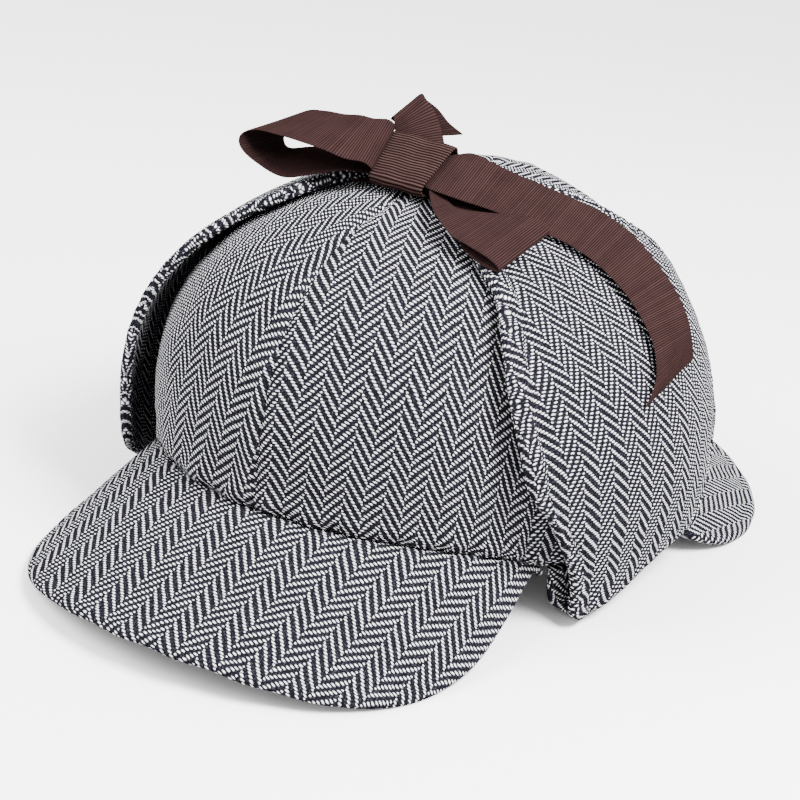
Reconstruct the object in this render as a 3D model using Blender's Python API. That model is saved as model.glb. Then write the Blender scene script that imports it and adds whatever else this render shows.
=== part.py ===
"""Deerstalker hat, its ear flaps folded up and tied over the crown with a ribbon bow.

Metres, +Z up. The front peak points to -Y and the wearer's left is +X. The hat
rests on its two peaks: z = 0 is the surface under it, and the origin is the
middle of the box it fills there. Shapes are first worked out in the rim's own
frame, whose z = 0 is the lower edge of the crown at the sides, and are then
set on the surface by RIM_SHIFT and RIM_HEIGHT.
"""

import math
from collections import namedtuple

import bmesh
import bpy
import numpy as np

MM = 0.001

# Head opening, measured outside the cloth, for a 58 to 59 cm head
HALF_LENGTH = 103.0 * MM
HALF_WIDTH = 87.0 * MM
CROWN_HEIGHT = 108.5 * MM
RIM_HEIGHT = 19.2 * MM
RIM_SHIFT = 2.77 * MM

# Cloth and ribbon
CLOTH = 2.0 * MM
PADDED = 3.6 * MM
RIBBON = 1.0 * MM
GAP = 0.3 * MM
EDGE_ROUND = 2.0 * MM
THIN_EDGE = 0.4

# Lower edge of the crown: it rises in the middle of each peak
Arch = namedtuple("Arch", "reach rise power")
FRONT_ARCH = Arch(reach=math.radians(65.2), rise=16.9 * MM, power=0.72)
REAR_ARCH = Arch(reach=math.radians(73.9), rise=9.7 * MM, power=1.0)

# Upright sections of the crown: power of the superellipse, and low-set bulge
Section = namedtuple("Section", "power bulge")
FRONT_SECTION = Section(power=2.79, bulge=0.010)
SIDE_SECTION = Section(power=2.02, bulge=0.147)
REAR_SECTION = Section(power=3.28, bulge=-0.082)
APEX_BACK = -2.7 * MM
APEX_HOLE = 0.7 * MM
GORE_SPAN = math.radians(60.0)
GORE_COLUMNS = 9
GORE_ROWS = 13
GORE_ROW_CROWDING = 0.6

# Peaks: rulings of changing length run out and down from the crown's edge
Peak = namedtuple("Peak", "side arch length corner blunt slope slope_gain turn")
FRONT_PEAK = Peak(-1, FRONT_ARCH, 63.2 * MM, 5.21, 1.99, 21.1, 31.4, 0.670)
REAR_PEAK = Peak(1, REAR_ARCH, 58.4 * MM, 3.42, 0.48, 23.7, 8.5, 0.973)
PEAK_COLUMNS = 29
PEAK_END = 1.5 * MM
PEAK_STEPS = (0.0, 0.15, 0.35, 0.55, 0.75, 0.9, 0.965, 0.99, 1.0)

# Ear flap above its fold: crown level and angle of its front edge, which differs
# on the left and the right flap, and of its back edge, in degrees, with the
# outer face's distance from the crown there in millimetres
FlapRow = namedtuple("FlapRow", "level left_front right_front off back_level back back_off")
FLAP_ROWS = (
    FlapRow(0.0, 63.0, 49.0, 12.0, 3.5, 110.0, 16.5),
    FlapRow(9.0, 59.0, 50.0, 11.9, 9.5, 117.0, 15.8),
    FlapRow(14.0, 54.5, 51.0, 11.8, 17.0, 126.0, 13.5),
    FlapRow(21.0, 52.0, 52.0, 11.5, 25.0, 132.0, 11.0),
    FlapRow(29.0, 50.0, 51.0, 10.4, 33.0, 136.0, 8.8),
    FlapRow(38.0, 49.5, 50.0, 8.6, 41.0, 137.0, 6.8),
    FlapRow(45.0, 50.0, 50.0, 7.4, 48.0, 135.0, 6.0),
    FlapRow(51.0, 50.0, 50.0, 6.5, 54.0, 131.0, 5.9),
    FlapRow(56.0, 48.0, 48.0, 5.8, 60.0, 128.0, 5.8),
    FlapRow(61.0, 46.0, 46.0, 5.4, 66.0, 128.0, 5.4),
    FlapRow(66.0, 47.0, 47.0, 5.0, 71.0, 130.0, 5.0),
    FlapRow(71.5, 55.0, 55.0, 4.6, 75.5, 128.0, 4.6),
    FlapRow(76.0, 64.0, 64.0, 4.4, 78.0, 114.0, 4.4),
)
# The flap's fold below the rim: it hangs lowest in front, and is rooted between the peaks
FOLD_FRONT = 66.5
FOLD_BACK = 104.5
FOLD_SWING = 2.0
FOLD_TURNS = (0.0, 20.0, 50.0, 90.0, 130.0, 160.0)
ROOT_DEPTH = -0.6 * MM
FoldDrop = namedtuple("FoldDrop", "share drop")
FOLD_DROPS = (
    FoldDrop(0.0, 18.9),
    FoldDrop(0.22, 16.2),
    FoldDrop(0.5, 10.6),
    FoldDrop(0.78, 7.6),
    FoldDrop(1.0, 5.0),
)
FLAP_SHARES = (0.0, 0.03, 0.11, 0.2, 0.3, 0.4, 0.5, 0.6, 0.7, 0.8, 0.89, 0.97, 1.0)

# Ribbon strips: millimetres in the rim's frame. Turn is the heading of the
# width, from +Y towards +X, and lean is its rise, both in degrees; the width is
# the ribbon's own 22 mm, less where it is gathered and more along a slanted cut
Strip = namedtuple("Strip", "x y z turn lean width")
BIG_LOOP = (
    Strip(-6.0, -23.0, 116.6, -8, 26, 14.5),
    Strip(-12.0, -23.2, 117.6, -10, 27, 17.5),
    Strip(-15.5, -24.6, 120.6, -10, 28, 20.5),
    Strip(-19.0, -27.8, 123.3, -5, 27, 22.0),
    Strip(-24.5, -30.3, 124.6, 4, 23, 22.0),
    Strip(-32.0, -31.0, 124.5, 10, 18, 22.0),
    Strip(-40.5, -30.0, 124.0, 14, 16, 22.0),
    Strip(-50.5, -28.0, 122.3, 20, 13, 22.0),
    Strip(-56.3, -29.0, 118.2, 16, 5, 22.0),
    Strip(-56.3, -30.3, 113.4, 8, 0, 22.0),
    Strip(-51.0, -31.0, 110.3, -3, 2, 22.0),
    Strip(-41.5, -30.0, 110.0, -8, 10, 22.0),
    Strip(-31.0, -27.5, 111.6, -8, 14, 22.0),
    Strip(-21.0, -25.0, 112.7, -6, 12, 20.0),
    Strip(-13.5, -23.5, 112.9, -4, 8, 14.0),
    Strip(-6.0, -23.0, 112.7, -4, 6, 12.0),
)
LONG_TAIL = (
    Strip(5.0, -22.5, 116.9, 2, 26, 14.5),
    Strip(11.5, -21.6, 117.8, 2, 28, 19.0),
    Strip(16.5, -20.6, 118.1, -1, 27, 22.0),
    Strip(23.5, -18.9, 116.6, -3, 24, 22.0),
    Strip(31.0, -14.8, 114.2, -3, 20, 22.0),
    Strip(38.5, -9.0, 111.0, -1, 19, 22.0),
    Strip(46.5, -2.0, 107.0, -2, 20, 22.0),
    Strip(54.5, 4.6, 102.8, 0, 20, 22.0),
    Strip(63.5, 9.8, 96.8, 4, 18, 22.0),
    Strip(73.5, 12.2, 88.7, 6, 13, 22.0),
    Strip(82.2, 11.3, 81.1, 10, 8, 22.0),
    Strip(88.4, 8.8, 74.8, 9, 5, 22.0),
    Strip(91.7, 6.1, 70.5, 5, 8, 23.1),
    Strip(94.1, 2.9, 67.0, 2, 11, 25.7),
    Strip(95.5, -0.6, 63.9, 1, 14, 30.1),
    Strip(96.3, -4.0, 61.5, 2, 15, 34.2),
)
SMALL_LOOP = (
    Strip(4.5, -21.5, 113.8, 0, 4, 8.0),
    Strip(9.0, -22.5, 113.5, 0, 5, 9.0),
    Strip(14.0, -26.5, 112.0, 0, 6, 12.0),
    Strip(22.0, -35.3, 110.1, 2, 6, 15.5),
    Strip(32.0, -39.0, 109.0, 6, 12, 20.0),
    Strip(41.0, -38.5, 108.6, 15, 20, 22.0),
    Strip(48.0, -38.8, 108.2, 24, 30, 22.0),
    Strip(52.8, -38.4, 106.0, 27, 33, 22.0),
    Strip(52.4, -38.0, 103.8, 25, 30, 22.0),
    Strip(46.0, -38.0, 103.9, 20, 22, 22.0),
    Strip(38.0, -38.0, 105.1, 12, 14, 21.0),
    Strip(28.0, -35.0, 107.3, 4, 6, 17.0),
    Strip(19.0, -30.0, 109.4, 0, 4, 13.0),
    Strip(13.0, -25.5, 110.7, 0, 4, 11.0),
    Strip(9.0, -22.5, 112.0, 0, 4, 9.0),
    Strip(4.5, -21.5, 112.2, 0, 4, 8.0),
)
SHORT_TAIL = (
    Strip(-3.5, -3.0, 110.4, 32, 0, 11.0),
    Strip(-5.0, -2.5, 114.5, 30, 0, 13.0),
    Strip(-7.8, -2.2, 119.5, 26, 2, 15.5),
    Strip(-10.7, -2.0, 123.6, 16, 5, 17.0),
    Strip(-13.0, -2.6, 126.8, 5, 9, 19.0),
    Strip(-14.4, -3.2, 129.4, -3, 12, 21.5),
    Strip(-15.8, -2.6, 131.0, -4, 12, 21.5),
    Strip(-17.2, -1.3, 129.7, -3, 12, 21.5),
    Strip(-15.1, 1.2, 125.9, 4, 7, 21.5),
    Strip(-11.7, 3.6, 122.0, 13, 3, 22.0),
    Strip(-7.6, 7.0, 117.9, 24, -2, 23.7),
)
TIE = (
    Strip(19.4, -16.4, 107.4, -16, 3, 18.0),
    Strip(13.5, -16.8, 108.6, -8, 1, 20.0),
    Strip(7.5, -17.0, 109.1, 0, 0, 20.0),
    Strip(0.8, -17.5, 109.3, 0, 0, 18.0),
)
# Band of the knot, round its section: place of each fold and ends of the band there
KnotRow = namedtuple("KnotRow", "y z right left")
KNOT_ROWS = (
    KnotRow(-32.6, 112.6, -10.6, 10.0),
    KnotRow(-31.2, 115.0, -10.9, 10.2),
    KnotRow(-22.8, 119.8, -12.2, 10.4),
    KnotRow(-15.0, 123.9, -13.6, 10.6),
    KnotRow(-12.4, 123.6, -13.8, 10.6),
    KnotRow(-11.2, 120.2, -13.0, 10.4),
    KnotRow(-11.4, 114.5, -12.0, 10.2),
    KnotRow(-13.6, 110.9, -11.2, 10.0),
    KnotRow(-21.0, 110.6, -10.6, 10.0),
    KnotRow(-30.2, 110.4, -10.4, 10.0),
)

# Finishes: base colour, roughness and metallic value
Finish = namedtuple("Finish", "color roughness metallic")
WOOL = Finish((0.20, 0.20, 0.22), 0.92, 0.0)
GROSGRAIN = Finish((0.075, 0.035, 0.028), 0.62, 0.0)


def clear_scene():
    """Remove whatever the scene holds."""
    for item in list(bpy.data.objects):
        bpy.data.objects.remove(item)


def make_material(name, finish):
    """Make one surface finish."""
    material = bpy.data.materials.new(name)
    material.use_nodes = True
    shader = material.node_tree.nodes["Principled BSDF"]
    shader.inputs["Base Color"].default_value = (*finish.color, 1.0)
    shader.inputs["Roughness"].default_value = finish.roughness
    shader.inputs["Metallic"].default_value = finish.metallic
    return material


def wall_object(name, upper, lower, material, ring=False):
    """Make one closed solid between two matching grids; a ring joins its last row to its first."""
    rows, columns = upper.shape[:2]
    count = rows * columns
    top = np.arange(count).reshape(rows, columns)
    if ring:
        top = np.vstack([top, top[:1]])
        edges = [np.stack([top[:-1, side], top[1:, side]], -1) for side in (0, -1)]
    else:
        loop = np.concatenate([top[0, :-1], top[:-1, -1], top[-1, :0:-1], top[:0:-1, 0]])
        edges = [np.stack([loop, np.roll(loop, -1)], -1)]
    quads = np.stack([top[:-1, :-1], top[1:, :-1], top[1:, 1:], top[:-1, 1:]], -1).reshape(-1, 4)
    sides = [np.hstack([edge, edge[:, ::-1] + count]) for edge in edges]
    faces = np.vstack([quads, quads[:, ::-1] + count, *sides])
    points = np.vstack([upper.reshape(-1, 3), lower.reshape(-1, 3)])

    mesh = bpy.data.meshes.new(name)
    mesh.from_pydata(points.tolist(), [], faces.tolist())
    shell = bmesh.new()
    shell.from_mesh(mesh)
    bmesh.ops.recalc_face_normals(shell, faces=shell.faces)
    shell.to_mesh(mesh)
    shell.free()
    mesh.shade_smooth()
    mesh.set_sharp_from_angle(angle=math.radians(40.0))
    mesh.materials.append(material)
    made = bpy.data.objects.new(name, mesh)
    bpy.context.scene.collection.objects.link(made)
    return made


def set_down(points):
    """Move points from the rim's frame to the surface the hat rests on, flattened where they meet it."""
    placed = points + np.array([0.0, RIM_SHIFT, RIM_HEIGHT])
    placed[..., 2] = np.maximum(placed[..., 2], 0.0)
    return placed


def grid_normals(grid):
    """Unit normals of a grid of points, from its rows' and columns' directions."""
    across = np.cross(np.gradient(grid, axis=0), np.gradient(grid, axis=1))
    return across / np.linalg.norm(across, axis=-1, keepdims=True)


def through_rows(rows, places):
    """Read a smooth curve through equally spaced rows of numbers at the given places, 0 to 1."""
    table = np.array(rows, dtype=float)
    ends = np.vstack([2 * table[0] - table[1], table, 2 * table[-1] - table[-2]])
    spot = np.asarray(places, dtype=float) * (len(table) - 1)
    first = np.minimum(spot.astype(int), len(table) - 2)
    t = (spot - first)[:, None]
    before, start, end, after = (ends[first + step] for step in range(4))
    slope_in = (end - before) / 2
    slope_out = (after - start) / 2
    return (
        start * (1 + 2 * t) * (1 - t) ** 2
        + slope_in * t * (1 - t) ** 2
        + end * t**2 * (3 - 2 * t)
        + slope_out * t**2 * (t - 1)
    )


def rim_height(angle):
    """Height of the crown's lower edge at an angle from the front."""
    turn = np.abs(np.arctan2(np.sin(angle), np.cos(angle)))
    front = np.clip(1 - (turn / FRONT_ARCH.reach) ** 2, 0, 1) ** FRONT_ARCH.power
    rear = np.clip(1 - ((math.pi - turn) / REAR_ARCH.reach) ** 2, 0, 1) ** REAR_ARCH.power
    return FRONT_ARCH.rise * front + REAR_ARCH.rise * rear


def crown_point(angle, level):
    """Outer face of the crown: angle from the front towards +X, level 0 at the rim to 90 degrees on top.

    Each upright section is a superellipse whose power, and whose bulge, blend
    between front, side and rear with the square of the angle's cosine.
    """
    angle, level = np.broadcast_arrays(angle, level)
    front = np.clip(np.cos(angle), 0, 1) ** 2
    rear = np.clip(-np.cos(angle), 0, 1) ** 2
    side = np.sin(angle) ** 2
    power = 2 / (FRONT_SECTION.power * front + SIDE_SECTION.power * side + REAR_SECTION.power * rear)
    bulge = FRONT_SECTION.bulge * front + SIDE_SECTION.bulge * side + REAR_SECTION.bulge * rear
    spread = np.clip(np.cos(level), 0, 1) ** power
    climb = np.clip(np.sin(level), 0, 1) ** power
    spread = spread * (1 + bulge * np.sin(2 * level) * np.cos(level))
    foot = rim_height(angle)
    return np.stack(
        [
            HALF_WIDTH * np.sin(angle) * spread,
            -HALF_LENGTH * np.cos(angle) * spread + APEX_BACK * climb**2,
            foot + (CROWN_HEIGHT - foot) * climb,
        ],
        axis=-1,
    )


def crown_normal(angle, level):
    """Outward normal of the crown, from small steps of angle and level."""
    step = 1e-4
    level = np.clip(level, step, math.pi / 2 - 2 * step)
    round_step = crown_point(angle + step, level) - crown_point(angle - step, level)
    rise_step = crown_point(angle, level + step) - crown_point(angle, level - step)
    normal = np.cross(round_step, rise_step)
    return normal / np.linalg.norm(normal, axis=-1, keepdims=True)


def build_gore(name, middle, material):
    """One of the crown's six gores, a cloth wall from the rim to a small hole at the top."""
    share = np.linspace(0, 1, GORE_ROWS)
    level = math.pi / 2 * (share - GORE_ROW_CROWDING * np.sin(2 * math.pi * share) / (2 * math.pi))
    level = level[:-1, None]
    outline = np.hypot(*np.moveaxis(crown_point(middle, level)[..., :2], -1, 0))
    half = GORE_SPAN / 2 - np.arcsin(GAP / 2 / outline)
    angle = middle + half * np.linspace(-1, 1, GORE_COLUMNS)
    outer = crown_point(angle, level)
    inner = outer - CLOTH * crown_normal(angle, level)

    half_top = GORE_SPAN / 2 - math.asin(GAP / 2 / APEX_HOLE)
    angle_top = middle + half_top * np.linspace(-1, 1, GORE_COLUMNS)
    top = np.stack(
        [
            APEX_HOLE * np.sin(angle_top),
            APEX_BACK - APEX_HOLE * np.cos(angle_top),
            np.full(GORE_COLUMNS, CROWN_HEIGHT),
        ],
        axis=-1,
    )
    outer = np.concatenate([outer, top[None]])
    inner = np.concatenate([inner, top[None] - np.array([0.0, 0.0, CLOTH])])
    return wall_object(name, set_down(outer), set_down(inner), material)


def build_crown(material):
    """Six gores, seamed at the middle front and back and twice on each side."""
    names = ("front_left", "side_left", "back_left", "back_right", "side_right", "front_right")
    for place, name in enumerate(names):
        build_gore("gore_" + name, (place + 0.5) * GORE_SPAN, material)


def build_peak(name, peak, material):
    """A stiff peak: tucked under the crown's wall, then running out and down to a rounded edge."""
    along = np.sin(np.linspace(-1, 1, PEAK_COLUMNS) * math.pi / 2)
    turn = along * peak.arch.reach
    angle = turn if peak.side < 0 else math.pi - turn
    reach = peak.length * (1 - np.abs(along) ** peak.corner) ** peak.blunt
    reach = np.maximum(reach, PEAK_END)
    slope = np.radians(peak.slope + peak.slope_gain * along**2)
    heading = turn * peak.turn
    way = np.stack(
        [
            np.sin(heading) * np.cos(slope),
            peak.side * np.cos(heading) * np.cos(slope),
            -np.sin(slope),
        ],
        axis=-1,
    )
    rim = crown_point(angle, 0.0) - np.array([0.0, 0.0, GAP])
    inward = crown_normal(angle, 0.0) * np.array([1.0, 1.0, 0.0])
    steps = np.array(PEAK_STEPS)[:, None, None]
    face = rim + steps * reach[:, None] * way
    normal = grid_normals(face)
    face = np.concatenate([(rim - CLOTH * inward)[None], face])
    normal = np.concatenate([normal[:1], normal])
    normal = normal * np.sign(normal[..., 2:])
    to_edge = np.concatenate([[1.0], 1 - np.array(PEAK_STEPS)])[:, None] * reach
    near = 1 - np.clip(to_edge / EDGE_ROUND, 0, 1)
    half = PADDED / 2 * np.maximum(np.sqrt(1 - near**2), THIN_EDGE)[..., None]
    upper = face - (PADDED / 2 - half) * normal
    lower = face - (PADDED / 2 + half) * normal
    return wall_object(name, set_down(upper), set_down(lower), material)


def flap_middle(side):
    """Middle face of a flap, as if on the left: rows from its root round the fold and up to the tied tip."""
    share = np.array(FLAP_SHARES)
    table = FlapRow(*np.array(FLAP_ROWS).T[:, :, None])
    front = table.left_front if side > 0 else table.right_front
    level = np.radians(table.level + (table.back_level - table.level) * share)
    angle = np.radians(front + (table.back - front) * share)
    off = (table.off + (table.back_off - table.off) * share**2) * MM - PADDED / 2
    above = crown_point(angle, level) + off[..., None] * crown_normal(angle, level)

    drops = np.interp(share, *np.array(FOLD_DROPS).T) * MM - PADDED / 2
    half_width = (off[0] - ROOT_DEPTH) / 2
    depth = np.minimum(half_width, drops - GAP)
    fold = []
    for turn in np.radians(FOLD_TURNS):
        degrees = FOLD_FRONT + FOLD_SWING * math.sin(turn) + (FOLD_BACK - FOLD_FRONT) * share
        around = np.radians(degrees)
        out = ROOT_DEPTH + half_width * (1 - math.cos(turn))
        height = -drops + depth * (1 - math.sin(turn)) if turn else np.full_like(drops, -GAP)
        fold.append(
            np.stack(
                [(HALF_WIDTH + out) * np.sin(around), -(HALF_LENGTH + out) * np.cos(around), height],
                axis=-1,
            )
        )
    return np.concatenate([np.array(fold), above])


def build_flap(name, side, material):
    """A doubled ear flap, rooted under the crown's edge, folded up and lying over the crown."""
    middle = flap_middle(side)
    normal = grid_normals(middle)
    half = np.full(middle.shape[:2], PADDED / 2)
    half[:, (0, -1)] *= THIN_EDGE
    half[-1] *= THIN_EDGE
    offset = half[..., None] * normal
    mirror = np.array([side, 1.0, 1.0])
    upper = (middle + offset) * mirror
    lower = (middle - offset) * mirror
    return wall_object(name, set_down(upper), set_down(lower), material)


def build_strip(name, rows, steps, material, mirror=1.0):
    """A length of ribbon: a flat band carried along a smooth curve through its rows."""
    table = through_rows(rows, np.linspace(0, 1, steps))
    centre = table[:, :3] * MM
    turn = np.radians(table[:, 3])
    lean = np.radians(table[:, 4])
    width = table[:, 5] * MM
    across = np.stack([np.sin(turn) * np.cos(lean), np.cos(turn) * np.cos(lean), np.sin(lean)], axis=-1)
    places = np.linspace(-0.5, 0.5, 3)[:, None, None]
    face = centre + places * (width[:, None] * across)
    normal = grid_normals(face) * RIBBON / 2
    scale = np.array([mirror, 1.0, 1.0])
    upper = (face + normal) * scale
    lower = (face - normal) * scale
    return wall_object(name, set_down(upper), set_down(lower), material)


def build_knot(material):
    """The bow's centre: a band of ribbon wrapped round where loops, tails and ties meet."""
    rows = np.array(KNOT_ROWS)
    loop = through_rows(np.vstack([rows, rows[:1]]), np.linspace(0, 1, 31))[:-1]
    ends = np.array([0.0, 0.5, 1.0])[None, :, None]
    start = loop[:, [2, 0, 1]][:, None] * MM
    finish = loop[:, [3, 0, 1]][:, None] * MM
    face = start + (finish - start) * ends
    forward = np.roll(face, -1, axis=0) - np.roll(face, 1, axis=0)
    normal = np.cross(forward, finish - start)
    normal *= RIBBON / 2 / np.linalg.norm(normal, axis=-1, keepdims=True)
    return wall_object("bow_knot", set_down(face + normal), set_down(face - normal), material, ring=True)


def build_bow(material):
    """Knot, two loops, two tails and the two ties that run under it to the flaps' tips."""
    build_knot(material)
    build_strip("bow_loop_right", BIG_LOOP, 43, material)
    build_strip("bow_loop_left", SMALL_LOOP, 40, material)
    build_strip("bow_tail_long", LONG_TAIL, 36, material)
    build_strip("bow_tail_short", SHORT_TAIL, 28, material)
    build_strip("tie_left", TIE, 7, material)
    build_strip("tie_right", TIE, 7, material, mirror=-1.0)


def main():
    clear_scene()
    wool = make_material("wool_herringbone", WOOL)
    grosgrain = make_material("grosgrain_ribbon", GROSGRAIN)
    build_crown(wool)
    build_peak("front_peak", FRONT_PEAK, wool)
    build_peak("rear_peak", REAR_PEAK, wool)
    build_flap("ear_flap_left", 1.0, wool)
    build_flap("ear_flap_right", -1.0, wool)
    build_bow(grosgrain)


if __name__ == "__main__":
    main()
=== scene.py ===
"""Looks of a herringbone wool deerstalker with its ear flaps tied up over the crown by a ribbon.

Metres, +Z up. The front peak points to -Y and the wearer's left is +X. Shapes are
first worked out in the rim's own frame, whose z = 0 is the crown's lower edge at
the sides, and then set down on the surface that the hat rests on.
"""

import logging
import math
from dataclasses import dataclass
from enum import Enum
from typing import NamedTuple, Sequence

import bpy
import numpy as np
from mathutils import Matrix, Vector


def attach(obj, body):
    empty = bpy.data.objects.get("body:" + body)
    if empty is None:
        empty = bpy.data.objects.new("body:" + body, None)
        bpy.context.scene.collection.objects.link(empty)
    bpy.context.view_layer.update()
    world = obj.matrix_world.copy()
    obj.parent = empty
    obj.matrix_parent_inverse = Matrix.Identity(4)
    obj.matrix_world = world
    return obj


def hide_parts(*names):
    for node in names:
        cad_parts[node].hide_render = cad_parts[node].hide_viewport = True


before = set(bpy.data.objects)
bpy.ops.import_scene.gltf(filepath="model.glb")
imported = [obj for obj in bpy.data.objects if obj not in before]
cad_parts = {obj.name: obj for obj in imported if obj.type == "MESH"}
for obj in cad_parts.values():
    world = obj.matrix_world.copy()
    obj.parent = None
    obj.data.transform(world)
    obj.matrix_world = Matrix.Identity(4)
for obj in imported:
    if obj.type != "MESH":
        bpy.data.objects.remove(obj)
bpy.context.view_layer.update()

MM = 0.001
NO_LENGTH = 1e-9  # metres, keeps a division from zero
NO_AREA = 1e-12  # the same for a product of two lengths
THINNEST = 0.06  # share of a cloth's thickness that is left at its very edge
# the shift marks a ribbon's inner face, on which its finish paints shade
INNER_FACE = 1.0  # metres that a ribbon's inner face lies further across in its flat places
FINE = 3.0  # detail of the finer noises
log = logging.getLogger("deerstalker")


# ---------------------------------------------------------------- numbers and curves


def along_knots(points: np.ndarray, knots: np.ndarray, places: np.ndarray) -> np.ndarray:
    """Read a smooth curve through rows of numbers.

    Each stretch is a cubic whose end slopes are the neighbouring chords' slopes,
    weighted so that the shorter chord counts more.

    Args:
        points: rows of numbers, the first axis runs along the curve.
        knots: rising place of each row.
        places: where the curve is read, within the knots.

    Returns:
        One row of numbers for each place.
    """
    gaps = np.diff(knots)
    shape = (-1,) + (1,) * (points.ndim - 1)
    chords = np.diff(points, axis=0) / gaps.reshape(shape)
    before, after = gaps[:-1].reshape(shape), gaps[1:].reshape(shape)
    inner = (chords[:-1] * after + chords[1:] * before) / (before + after)
    slopes = np.concatenate([chords[:1], inner, chords[-1:]])
    first = np.clip(np.searchsorted(knots, places, side="right") - 1, 0, len(knots) - 2)
    span = gaps[first].reshape(shape)
    t = ((places - knots[first]) / gaps[first]).reshape(shape)
    return (
        points[first] * (1 + 2 * t) * (1 - t) ** 2
        + slopes[first] * span * t * (1 - t) ** 2
        + points[first + 1] * t**2 * (3 - 2 * t)
        + slopes[first + 1] * span * t**2 * (t - 1)
    )


def run_lengths(points: np.ndarray, axis: int) -> np.ndarray:
    """Length from the start along one axis of a grid of points."""
    steps = np.linalg.norm(np.diff(points, axis=axis), axis=-1)
    start = np.zeros_like(np.take(steps, [0], axis=axis))
    return np.concatenate([start, np.cumsum(steps, axis=axis)], axis=axis)


def grid_normals(grid: np.ndarray) -> np.ndarray:
    """Unit normals of a grid of points, from its rows' and columns' directions."""
    across = np.cross(np.gradient(grid, axis=0), np.gradient(grid, axis=1))
    return across / np.maximum(np.linalg.norm(across, axis=-1, keepdims=True), NO_AREA)


def unevenness(across: np.ndarray, along: np.ndarray, size: float, seed: int) -> np.ndarray:
    """Smooth unevenness of worked cloth, about -1 to 1.

    The sum of seven sine waves whose headings, lengths near the given size and
    phases come from a seeded generator.

    Args:
        across: first flat coordinate, metres.
        along: second flat coordinate, metres.
        size: typical length of a wave, metres.
        seed: chooses the waves.

    Returns:
        The height at each point.
    """
    waves, shortest, longest = 7, 0.7, 1.6
    numbers = np.random.default_rng(seed)
    total = np.zeros(np.broadcast(across, along).shape)
    for _ in range(waves):
        heading = numbers.uniform(0, math.pi)
        length = size * numbers.uniform(shortest, longest)
        phase = numbers.uniform(0, 2 * math.pi)
        place = across * math.cos(heading) + along * math.sin(heading)
        total = total + np.sin(2 * math.pi * place / length + phase)
    return total / (waves / 2)


class Roll(NamedTuple):
    """A ridge or groove along an edge: height, distance from the edge and half width."""

    height: float
    place: float
    width: float

    def at(self, from_edge: np.ndarray) -> np.ndarray:
        """Height of the bell curve at a distance from the edge."""
        return self.height * np.exp(-(((from_edge - self.place) / self.width) ** 2))


class Waves(NamedTuple):
    """Unevenness of worked cloth: its height, the length of a wave, and its reach from an edge."""

    height: float
    size: float
    reach: float = math.inf

    def at(
        self, across: np.ndarray, along: np.ndarray, seed: int, from_edge: np.ndarray | float = 0.0
    ) -> np.ndarray:
        """Height at flat places, falling off exponentially with the distance from an edge.

        Args:
            across: first flat coordinate, metres.
            along: second flat coordinate, metres.
            seed: chooses the waves.
            from_edge: distance from the edge, metres.

        Returns:
            The height at each place, metres.
        """
        fall = np.exp(-from_edge / self.reach)
        return self.height * fall * unevenness(across, along, self.size, seed)


def half_thickness(to_edge: np.ndarray, rounding: float, thick: float) -> np.ndarray:
    """Half a cloth's thickness, which thins to almost nothing at its edge in a quarter ellipse."""
    near = 1 - np.clip(to_edge / rounding, 0, 1)
    return thick / 2 * np.maximum(np.sqrt(1 - near**2), THINNEST)


def laid_flat(face: np.ndarray, rough: np.ndarray, count: int = 13) -> np.ndarray:
    """Flat places of a curved cloth, as near to its own distances as a plane allows.

    Shortest ways over a coarse net of the face's points stand in for distances in
    the cloth. The two strongest directions of their centred squares are the flat
    coordinates, which are then turned and moved to suit a rough layout.

    Args:
        face: grid of points.
        rough: grid of rough flat places, for the heading.
        count: points along each side of the net.

    Returns:
        Grid of flat places in metres, rows by columns by two.
    """
    neighbours, unlinked, doublings = 2, 10.0, 4
    places = [run_lengths(face, axis).mean(axis=1 - axis) for axis in (0, 1)]
    picks = []
    for run in places:
        even = np.searchsorted(run, np.linspace(0, run[-1], count))
        picks.append(np.unique(even.clip(0, len(run) - 1)))
    net = face[np.ix_(*picks)]
    numbered = np.meshgrid(*(np.arange(n) for n in net.shape[:2]), indexing="ij")
    index = np.stack(numbered, -1).reshape(-1, 2)
    points = net.reshape(-1, 3)
    near = np.abs(index[:, None] - index[None]).max(axis=-1) <= neighbours
    way = np.where(near, np.linalg.norm(points[:, None] - points[None], axis=-1), unlinked)
    for _ in range(doublings):
        way = (way[:, :, None] + way[None]).min(axis=1)
    centring = np.eye(len(points)) - 1 / len(points)
    strength, heading = np.linalg.eigh(-centring @ way**2 @ centring / 2)
    plane = heading[:, -2:] * np.sqrt(strength[-2:])
    target = rough[np.ix_(*picks)].reshape(-1, 2)
    left, _, right = np.linalg.svd(plane.T @ (target - target.mean(axis=0)))
    coarse = (plane @ left @ right + target.mean(axis=0)).reshape(*net.shape[:2], 2)
    filled = along_knots(coarse, places[0][picks[0]], places[0])
    filled = along_knots(np.swapaxes(filled, 0, 1), places[1][picks[1]], places[1])
    return np.swapaxes(filled, 0, 1)


def round_the_edge(
    flat: np.ndarray, middle: np.ndarray, face: np.ndarray, axis: int, start: int
) -> np.ndarray:
    """Stretch flat places to the lengths of a face that is moved off the middle one.

    Each flat step along one axis is scaled by the moved face's step over the
    middle face's, and the steps are added up again from a starting line.

    Args:
        flat: grid of flat places of the middle face.
        middle: grid of the middle face's points.
        face: grid of the moved face's points.
        axis: 0 along the columns, 1 along the rows.
        start: index along that axis where flat places stay as they are.

    Returns:
        Grid of flat places of the moved face.
    """
    step = np.linalg.norm(np.diff(face, axis=axis), axis=-1)
    plain = np.maximum(np.linalg.norm(np.diff(middle, axis=axis), axis=-1), NO_LENGTH)
    steps = np.diff(flat, axis=axis) * (step / plain)[..., None]
    nothing = np.zeros_like(np.take(flat, [0], axis=axis))
    run = np.concatenate([nothing, np.cumsum(steps, axis=axis)], axis=axis)
    return np.take(flat, [start], axis=axis) + run - np.take(run, [start], axis=axis)


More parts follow.
